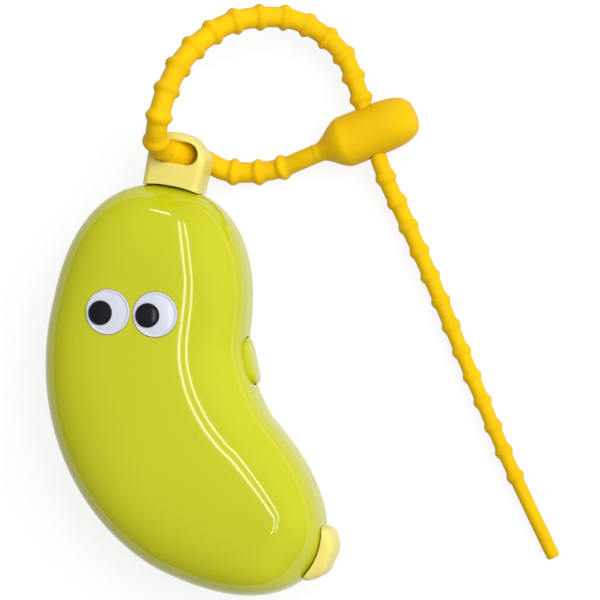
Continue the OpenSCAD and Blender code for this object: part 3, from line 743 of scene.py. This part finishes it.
def strap_tube(name, route, radius_at, start, end_r):
    """Round tube along a route: rings square to it, of the radius at their length, with the
    far end rounded over. Rings are turned from a direction that the route never takes."""
    line, lengths = smooth_route(route)
    total = lengths[-1]
    s = np.arange(start, total - end_r, tube_step)
    a = np.linspace(0, np.pi / 2, tube_end_rings)
    s = np.concatenate([s, total - end_r + end_r * np.sin(a)])
    r = radius_at(s)
    r[-tube_end_rings:] = radius_at(np.array([total - end_r]))[0] - end_r + end_r * np.cos(a)

    def route_at(length):
        return np.stack([np.interp(length, lengths, line[:, k]) for k in range(3)], -1)
    h = 0.05
    d = route_at(s + h) - route_at(s - h)
    d /= np.linalg.norm(d, axis=1, keepdims=True)
    x = np.cross(d, [0.6, 0, 0.8])
    x /= np.linalg.norm(x, axis=1, keepdims=True)
    y = np.cross(d, x)
    a = np.linspace(0, 2 * np.pi, tube_cells, endpoint=False)[None, :, None]
    round_it = np.cos(a) * x[:, None] + np.sin(a) * y[:, None]
    return skin(name, route_at(s)[:, None] + r[:, None, None] * round_it), line


def in_slot(s):
    """Swelling where the strap is squeezed in the stem's slot: what is left of the way to
    slot_fade, to the power of 0.7."""
    return slot_swell * np.clip(1 - s / slot_fade, 0, 1) ** 0.7


def lead_radius(s):
    """Neck that thins from the slot to the bead, with three ribs."""
    neck = np.interp(s, [lead_places[0], lead_places[2] + 3], [neck_r, lead_end_r])
    return neck + ribs(s, lead_places, rib_h) + in_slot(s)


def tail_radius(s):
    """Neck that thins from the slot to the far end, with the loop's ribs and the tail's."""
    neck = np.interp(s, [50, loop_places[-1], tail_places[-1]], [neck_r, loop_end_r, neck_end_r])
    return neck + ribs(s, loop_places, rib_h) + ribs(s, tail_places, tail_rib_h) + in_slot(s)


def make_strap_head():
    """Bead: turned about its long axis. Its near end swells out of the strap by 1 minus the
    square of what t to the power of 1.6 leaves to 1. Its far end is an oval, the sine and
    cosine to the power of head_oval. A hole with flared ends runs across it."""
    bead = level_frame(head_place, head_turn)
    axes = np.roll(bead[1], -1, axis=0)
    t = np.linspace(0, np.pi / 2, 44)
    far = np.stack([head_d / 2 * np.sin(t) ** head_oval, head_end * np.cos(t) ** head_oval], -1)
    x = np.linspace(head_half_from, head_root, 50)
    t = np.clip((x - head_swell_from) / (head_full_from - head_swell_from), 0, 1)
    swell = (head_d / 2 - head_root_r) * (1 - (1 - t ** 1.6) ** 2)
    near = np.stack([head_root_r + swell, x], -1)
    head = turned((head_place, axes), np.vstack([far, near, [0, head_root]]))
    place = level_frame(moved(bead, [hole_side, 0, -hole_drop])[0], head_turn - hole_turn)
    deep = np.linspace(-1, hole_flare, 16)
    grow = hole_flare - np.sqrt(hole_flare ** 2 - (hole_flare - np.maximum(deep, 0)) ** 2)
    ring = circle(1.0)
    size = (hole_r + grow)[:, None]
    x = size * ring[:, 0]
    z = size * ring[:, 1]
    y = np.sqrt((head_d / 2) ** 2 - z ** 2) - deep[:, None]
    near = np.stack([x, y, z], -1)
    far = near[::-1] * [1, -1, 1]
    hole = skin("hole", placed(np.concatenate([near, far]), place))
    head = cut(head, hole)
    return finished(head, "strap_bead", strap_silicone, "base", ["strap_head"], 50)


strap_bead = make_strap_head()
lead, lead_line = strap_tube("strap_short_end", lead_route, lead_radius, strap_gap, 0.15)
finished(lead, "strap_short_end", strap_silicone, "base", ["strap_lead"], 50)
tail, tail_line = strap_tube("strap_long_end", tail_route, tail_radius, strap_gap, 0.7)
finished(tail, "strap_long_end", strap_silicone, "base", ["strap_tail"], 50)


# Front shell
def make_front_shell():
    """Front half with the hinge's middle knuckle, the hook and two round seats for the eyes."""
    base = seam + rim_gap / 2
    room = barrel_r + barrel_room
    shell = hollow_half("front", base, front_form, 1)
    shell = cut(
        shell, hinge_wedge(1), hinge_rod(room, half_knuckle, half_barrel + knuckle_gap),
        hinge_rod(room, -half_barrel - knuckle_gap, -half_knuckle), button_window())
    seat = circle(eye_d / 2 + eye_fit, count=fine_cells)
    for side in (-1, 1):
        shell = cut(shell, drawn(eye_frame(side), "z", 0, 4 * through, seat))
    top = front_depth + through
    stay = joined(
        block(on_latch, [blade_in, -hook_w / 2, blade_foot], [blade_out, hook_w / 2, top]),
        block(on_latch, [blade_out - weld, -stay_half, button_h / 2 + 1], [1, stay_half, top]))
    stay = kept_inside(stay, solid_half(base, front_form, 1, wall / 2))
    hook = drawn(on_latch, "y", -hook_w / 2, hook_w / 2, [
        [blade_out, hook_root], [blade_in, hook_root], [blade_in, nose_top], [nose_x, nose_top],
        [nose_x, nose_top - nose_land], [blade_in, nose_bottom], [blade_out, nose_bottom]])
    foot = barrel_r + knuckle_foot
    knuckle = joined(
        hinge_rod(barrel_r, -half_knuckle, half_knuckle),
        block(on_hinge, [-half_knuckle, 0, rim_gap / 2], [half_knuckle, barrel_r, foot]))
    shell = joined(shell, joined(stay, hook), knuckle)
    shell = cut(shell, hinge_rod(pin_hole_r, -half_barrel, half_barrel))
    return finished(shell, "front_moulding", lime_abs, "lid", ["front_shell"])


# Rear shell
def make_lip():
    """Locating lip: a band round the inside of the rim, with a foot that joins it to the wall."""
    def band(outer, inner, low, high):
        a, b = outline(outer, along_lip), outline(inner, along_lip)
        corners = ((a, low), (a, high), (b, high), (b, low))
        rings = [np.column_stack([p, np.full(len(p), z)]) for p, z in corners]
        return skin("band", np.stack(rings, 1), closed_row=True)
    inner = wall + lip_gap + lip_t
    lip = joined(
        band(wall + lip_gap, inner, seam - lip_foot, seam + lip_h),
        band(wall / 2, inner - foot_step, seam - lip_foot - weld, seam - rim_gap / 2))
    at_hinge = half_barrel + lip_break
    at_latch = flange_w / 2 + lip_break
    return cut(
        lip,
        block(on_hinge, [-at_hinge, -break_out, -break_out], [at_hinge, hinge_break_in, break_out]),
        block(on_latch, [-latch_break_in, -at_latch, -break_out], [break_out, at_latch, break_out]))


def tongue(play):
    """Two corners of the tongue that holds the stem or the tip, or of its hole with play."""
    return (
        [-tongue_w / 2 - play, -tongue_len - play, tongue_bottom - play],
        [tongue_w / 2 + play, tongue_root, tongue_top + play])


def make_cradle():
    """Pad, rails, posts and spring rib of the latch, and a post under each tongue."""
    far = -back_depth
    pad_y = flange_w / 2 + pad_side
    cradle = block(
        on_latch, [stop_x, -pad_y, -button_h - 0.1], [pad_out, pad_y, -rim_gap / 2])
    for side in (-1, 1):
        inner = sorted([side * arm_in, side * wall_in])
        outer = sorted([side * wall_in, side * half_bracket])
        cradle = joined(
            cradle,
            block(on_latch, [post_x, inner[0], far], [rail_out, inner[1], arm_bottom - arm_play]),
            block(on_latch, [post_x, outer[0], far], [rail_out, outer[1], bracket_seat]),
            drawn(on_latch, "z", far, bracket_seat, circle(post_r, (post_x, side * post_y))))
    post = circle(post_r, (0, -tongue_screw))
    return joined(
        cradle,
        block(
            on_latch, [rib_x - spring_rib_t, -spring_rib_half, far],
            [rib_x, spring_rib_half, bracket_seat]),
        drawn(on_stem, "z", far, tongue_bottom, post),
        drawn(on_tip, "z", far, tongue_bottom, post))


def make_rear_shell():
    """Rear half, cut flat at its back, with two outer knuckles, the lip and the latch's bed.
    The edges that lie on z = 0 are marked sharp, so that the flat shades as a flat."""
    base = seam - rim_gap / 2
    outer_knuckle = half_knuckle + knuckle_gap
    shell = hollow_half("rear", base, rear_form, -1)
    shell = cut(
        shell, hinge_wedge(-1), hinge_rod(barrel_r + barrel_room, -outer_knuckle, outer_knuckle))
    cradle = kept_inside(make_cradle(), solid_half(base, rear_form, -1, wall / 2))
    shell = joined(shell, make_lip(), cradle)
    for side in (-1, 1):
        start, end = sorted([side * outer_knuckle, side * half_barrel])
        foot = -barrel_r - knuckle_foot
        shell = joined(shell, joined(
            hinge_rod(barrel_r, start, end),
            block(on_hinge, [start, 0, foot], [end, barrel_r, -rim_gap / 2])))
    shell = cut(
        shell,
        block(world_frame, [-spine_len, -spine_len, -2 * through], [spine_len, spine_len, 0]),
        button_window(), block(on_stem, *tongue(tongue_play)), block(on_tip, *tongue(tongue_play)),
        hinge_rod(pin_hole_r, -half_barrel - through, half_barrel + through))
    piece = finished(shell, "rear_moulding", lime_abs, "base", ["rear_shell"])
    mesh = piece.data
    z = np.zeros(len(mesh.vertices) * 3)
    mesh.vertices.foreach_get("co", z)
    ends = np.zeros(len(mesh.edges) * 2, int)
    mesh.edges.foreach_get("vertices", ends)
    low = np.abs(z.reshape(-1, 3)[:, 2]) < 1e-6
    marked = np.zeros(len(mesh.edges), bool)
    mesh.attributes["sharp_edge"].data.foreach_get("value", marked)
    marked |= low[ends.reshape(-1, 2)].all(1)
    mesh.attributes["sharp_edge"].data.foreach_set("value", marked)
    return piece


# Latch button and spring
def make_button():
    """Button with a rounded edge, its flange, two arms and the bar with the catch."""
    a = np.radians(np.linspace(0, 90, 8))
    outlines = [pill(0)] + [pill(x) for x in button_edge * (1 - np.cos(a))]
    heights = [flange_in, *(button_proud - button_edge + button_edge * np.sin(a))]
    rings = np.array([np.insert(p, 0, x, axis=1) for p, x in zip(outlines, heights)])
    button = skin("button", placed(rings, on_latch))
    flange_low = -button_h / 2 - flange_drop
    catch_y = hook_w / 2 + catch_side
    parts = [
        block(
            on_latch, [flange_in - 2 * weld, -flange_w / 2, flange_low],
            [flange_x, flange_w / 2, flange_top]),
        block(on_latch, [bar_in, -arm_out, arm_bottom], [bar_out, arm_out, arm_top]),
        block(
            on_latch, [bar_in, -spring_pad_half, spring_pad_low],
            [bar_out, spring_pad_half, spring_pad_high]),
        drawn(on_latch, "y", -catch_y, catch_y, [
            [bar_out - weld, arm_bottom], [catch_x, arm_bottom],
            [catch_x, arm_bottom + catch_land], [bar_out - weld, arm_top - 0.2]])]
    for side in (-1, 1):
        y = sorted([side * arm_in, side * arm_out])
        parts.append(block(on_latch, [bar_in, y[0], arm_bottom], [flange_in + weld, y[1], arm_top]))
    button = joined(button, *parts)
    return finished(button, "push_button", button_abs, "button", ["latch_button"])


def make_spring():
    """Helix of round wire between the rib and the bar, made at its length with the button out;
    the real one shortens as the button goes in, and nothing here moves it.
    """
    turn = np.linspace(0, 2 * np.pi * spring_turns, spring_turns * spring_cells + 1)[:, None]
    r = spring_r - spring_wire / 2
    rise = spring_len - spring_wire - 2 * spring_play
    b = np.linspace(0, 2 * np.pi, wire_cells, endpoint=False)
    start = rib_x + spring_play + spring_wire / 2
    x = start + rise * turn / turn[-1] - spring_wire / 2 * np.sin(b)
    q = r + spring_wire / 2 * np.cos(b)
    rings = np.stack([x, q * np.cos(turn), spring_z + q * np.sin(turn)], -1)
    spring = finished(
        skin("spring", placed(rings, on_latch)), "return_spring", steel, "base",
        ["latch_spring"], 50)
    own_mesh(spring)
    return spring


# Stem and tip
def rounded_slab(place, shape, thick, edge, steps=9):
    """Slab whose front and back edges are rounded: outlines drawn smaller by one minus the
    cosine, at heights that follow the sine."""
    a = np.radians(np.linspace(90, 0, steps))
    down = edge * (1 - np.sin(a))
    z = np.concatenate([-thick / 2 + down, (thick / 2 - down)[::-1]])
    inset = edge * (1 - np.cos(a))
    inset = np.concatenate([inset, inset[::-1]])
    rings = np.array([np.insert(shape(i), 2, h, axis=1) for i, h in zip(inset, z)])
    return skin("slab", placed(rings, place))


def stem_outline(inset):
    """The stem seen from the front, drawn smaller by an inset: corners [x, y, radius]."""
    foot = (stem_w - stem_taper) / 2 - inset
    top = stem_w / 2 - inset
    h = stem_h - inset
    return rounded([
        [foot, -stem_sunk, foot_r], [top, h - 4.6, 3.6 - inset], [top - 4, h - 0.5, 5 - inset],
        [-1.5, h, 6 - inset], [-top + 0.6, h - 1.4, 3.2 - inset], [-foot, -stem_sunk, foot_r]])


def tip_outline(inset):
    """The tip seen from the front, drawn smaller by an inset: corners [x, y, radius]."""
    x = tip_w / 2 - inset
    h = tip_h - inset
    return rounded([
        [x, -tip_sunk, foot_r], [x, h - 2.6, 2.2 - inset], [x - 3, h, 4 - inset],
        [-x + 3, h, 4 - inset], [-x, h - 2.6, 2.2 - inset], [-x, -tip_sunk, foot_r]])


def strap_slot():
    """The slot's cutter: two half circles a straight apart, wider near both faces by what a
    quarter circle leaves, so that the slot's edges come out rounded."""
    deep = np.linspace(-1, slot_flare, 16)
    grow = slot_flare - np.sqrt(slot_flare ** 2 - (slot_flare - np.maximum(deep, 0)) ** 2)
    ring = circle(1.0)
    shift = np.where(ring[:, 0] > 0, 1, -1) * (slot_len - slot_h) / 2
    size = (slot_h / 2 + grow)[:, None]
    x = shift + size * ring[:, 0]
    y = slot_y + size * ring[:, 1]
    z = np.repeat((stem_t / 2 - deep)[:, None], round_cells, 1)
    near = np.stack([x, y, z], -1)
    far = near[::-1] * [1, 1, -1]
    return skin("slot", placed(np.concatenate([near, far]), on_stem))


def make_cap(name, place, shape, node, opening=None):
    """Stem or tip: a rounded slab cut back from the case, close to the rear shell and wider
    beside the front shell, with its tongue."""
    slab = rounded_slab(place, shape, stem_t, cap_edge)
    top = seam + front_depth + 2 * through
    slab = cut(
        slab, drawn(world_frame, "z", -through, top, outline(-cap_seat, along_cap)),
        drawn(world_frame, "z", seam - cap_step, top + through, outline(-cap_gap, along_cap)))
    if opening:
        slab = cut(slab, opening)
    screw_hole = circle(clear_hole_r, (0, -tongue_screw))
    bar = cut(
        block(place, *tongue(0)),
        drawn(place, "z", tongue_bottom - through, tongue_top + through, screw_hole))
    return finished(joined(slab, bar), name, cream_abs, "base", [node])


# Eyes
def disc_profile(r, rim, crown, edge, lip):
    """Half section of a domed button: a rounded rim with a raised lip, a fine groove inside
    it, and a shallow dome that is part of a circle."""
    ball = (r * r + crown * crown) / (2 * crown)
    a = np.radians(np.linspace(0, 90, 7))
    side = np.stack([r - edge + edge * np.cos(a), rim + lip - edge + edge * np.sin(a)], -1)
    inner = r - edge - groove_in
    a = np.radians(np.linspace(0, 180, 9))[1:]
    groove = np.stack([inner + groove_r * (1 + np.cos(a)), rim + lip / 2 * (1 + np.cos(a))], -1)
    x = np.linspace(inner, 0, 24)[1:]
    top = rim + np.sqrt(ball ** 2 - x ** 2) - np.sqrt(ball ** 2 - inner ** 2)
    return np.vstack([[[0, 0], [r, 0]], side, groove, np.stack([x, top], -1)])


def make_eye(side, name):
    """White disc with a round pocket that a black domed pupil sits in, off its middle."""
    place = eye_frame(side)
    seat = moved(place, [-pupil_shift, -pupil_drop, pupil_floor])
    pocket = circle(pupil_d / 2 + eye_fit, count=fine_cells)
    disc = turned(place, disc_profile(eye_d / 2, eye_rim, eye_crown, eye_edge, eye_lip))
    disc = cut(disc, drawn(seat, "z", 0, 3 * through, pocket))
    finished(disc, name + "_white", eye_acrylic, "lid", [name])
    pupil = turned(seat, disc_profile(pupil_d / 2, pupil_rim, pupil_crown, pupil_edge, 0.0))
    finished(pupil, name + "_black", pupil_acrylic, "lid", [name[:-3] + "pupil"])


def merged_copy(node, material, name):
    """Copy of a solid of the base with its loose triangles merged, smoothed and its edges
    eased."""
    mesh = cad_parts[node].data.copy()
    shape = bmesh.new()
    shape.from_mesh(mesh)
    bmesh.ops.remove_doubles(shape, verts=shape.verts, dist=2e-6)
    bmesh.ops.dissolve_limit(
        shape, angle_limit=np.radians(0.5), verts=shape.verts, edges=shape.edges)
    shape.to_mesh(mesh)
    shape.free()
    copy = bpy.data.objects.new(name, mesh)
    bpy.context.scene.collection.objects.link(copy)
    finished(copy, name, material, "base", [node], 40)
    ease = copy.modifiers.new("eased edges", "BEVEL")
    ease.width = 0.08 * MM
    ease.segments = 2
    ease.limit_method = "ANGLE"
    ease.angle_limit = np.radians(50)
    return copy


make_front_shell()
make_rear_shell()
make_button()
make_spring()
make_cap("stem_moulding", on_stem, stem_outline, "stem_cap", strap_slot())
make_cap("tip_moulding", on_tip, tip_outline, "tip_cap")
make_eye(-1, "left_eye")
make_eye(1, "right_eye")
merged_copy("latch_bracket", lime_abs, "latch_cover")
merged_copy("hinge_pin", steel, "hinge_wire")
merged_copy("bracket_screws", steel, "cover_screws")
merged_copy("stem_screw", steel, "stem_tongue_screw")
merged_copy("tip_screw", steel, "tip_tongue_screw")


# Floor: a broad slab whose top is a hair under the case
floor_half = 3000.0
floor_top = -0.05
floor_bottom = -20.0


def pale_floor():
    """Paper, white to the camera and in reflections: for those rays most of it is emission,
    and the rest keeps the case's soft shadow."""
    material, tree = new_tree("pale_paper_floor")
    path = add(tree, "ShaderNodeLightPath")
    seen = add(tree, "ShaderNodeMath", {
        0: path.outputs["Is Camera Ray"], 1: path.outputs["Is Glossy Ray"]}, operation="MAXIMUM")
    seen = add(tree, "ShaderNodeMath", {
        0: seen.outputs[0], 1: path.outputs["Is Transmission Ray"]}, operation="MAXIMUM")
    share = add(tree, "ShaderNodeMath", {0: seen.outputs[0], 1: 0.7}, operation="MULTIPLY")
    paper = add(tree, "ShaderNodeBsdfDiffuse", {"Color": (0.6, 0.6, 0.6, 1.0)})
    white = add(tree, "ShaderNodeEmission", {"Color": (1.0, 1.0, 1.0, 1.0), "Strength": 1.2})
    mixed = add(tree, "ShaderNodeMixShader", {
        0: share.outputs[0], 1: paper.outputs[0], 2: white.outputs[0]})
    add(tree, "ShaderNodeOutputMaterial", {"Surface": mixed.outputs[0]})
    return material


corners = floor_half * np.array([[-1, -1], [1, -1], [1, 1], [-1, 1]])
floor = skin("floor", np.array([
    np.insert(corners, 2, z, axis=1) for z in (floor_bottom, floor_top)]))
floor.data.materials.append(pale_floor())

# Studio: a dim even room, a little brighter from above on the right
world = bpy.data.worlds.new("studio")
bpy.context.scene.world = world
world.use_nodes = True
sky = world.node_tree
sky.nodes.clear()
towards = add(sky, "ShaderNodeTexCoord").outputs["Generated"]
brighter = Vector((0.5, 0.2, 0.84)).normalized()
lit = add(sky, "ShaderNodeVectorMath", {0: towards, 1: brighter}, operation="DOT_PRODUCT")
level = add(sky, "ShaderNodeMapRange", {
    "Value": lit.outputs["Value"], "From Min": -0.2, "From Max": 1.0, "To Min": 0.17, "To Max": 0.48},
    interpolation_type="SMOOTHSTEP")
room_light = add(sky, "ShaderNodeBackground", {
    "Color": (1.0, 1.0, 1.0, 1.0), "Strength": level.outputs["Result"]})
add(sky, "ShaderNodeOutputWorld", {"Surface": room_light.outputs[0]})


def lamp(name, kind, energy, place, **settings):
    """Adds a lamp that the camera doesn't see. Its own Z axis points away from what it lights."""
    light = bpy.data.lights.new(name, kind)
    light.energy = energy
    for key, value in settings.items():
        setattr(light, key, value)
    hung = bpy.data.objects.new(name, light)
    hung.location = Vector(place) * MM
    hung.visible_camera = False
    bpy.context.scene.collection.objects.link(hung)
    return hung


lamp_height = 500.0

# Broad soft light from above on the right, too diffused to draw a highlight of its own
key_from = Vector((0.62, 0.24, 0.75))
soft_key = lamp("soft_key", "SUN", 2.3, key_from * 1000, angle=np.radians(45))
soft_key.rotation_euler = key_from.to_track_quat("Z", "Y").to_euler()
soft_key.visible_glossy = False

# Two thin strip lamps, nearly overhead: they draw the two bright lines on the right shoulder
for number, strip_x in enumerate((10.0, 57.0)):
    lamp(
        "strip_lamp_%d" % (number + 1), "AREA", 0.28, (strip_x, 290, lamp_height),
        shape="RECTANGLE", size=12 * MM, size_y=740 * MM)
# A short lamp behind the stem's end, askew: the bright dash on the top of the front
end_lamp = lamp(
    "end_lamp", "AREA", 0.18, (-78, 900, lamp_height),
    shape="RECTANGLE", size=22 * MM, size_y=150 * MM)
end_lamp.rotation_euler.z = np.radians(24)

bpy.context.scene.view_settings.view_transform = "Standard"

bpy.context.view_layer.update()
